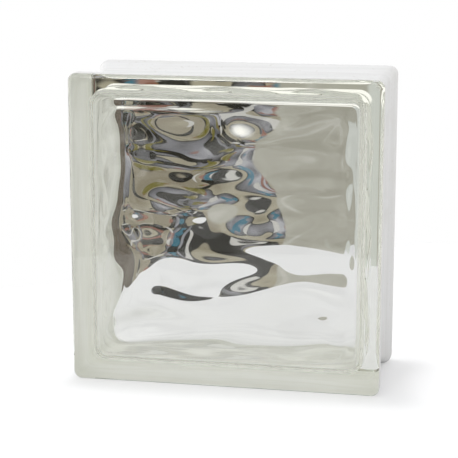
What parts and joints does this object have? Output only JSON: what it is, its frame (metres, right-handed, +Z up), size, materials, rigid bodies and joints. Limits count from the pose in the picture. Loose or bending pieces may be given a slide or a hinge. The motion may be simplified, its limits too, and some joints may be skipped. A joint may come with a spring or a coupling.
{
  "type": "glass block",
  "caption": "Square hollow glass block with wavy inner faces and a mortar channel round its edges, laid in courses to build walls and screens that let light through.",
  "frame": {"origin": "on the floor under the middle of the block, which stands on one edge", "axes": "+X along the width, +Y through the depth from the front face to the rear face, +Z up"},
  "size_m": [0.19, 0.08, 0.19],
  "materials": {
    "glass": "clear pressed glass, flat and fire-polished outside, wavy inside, with a white paint film round the edges"
  },
  "bodies": {
    "root": {"glass_block": "glass"}
  },
  "joints": []
}
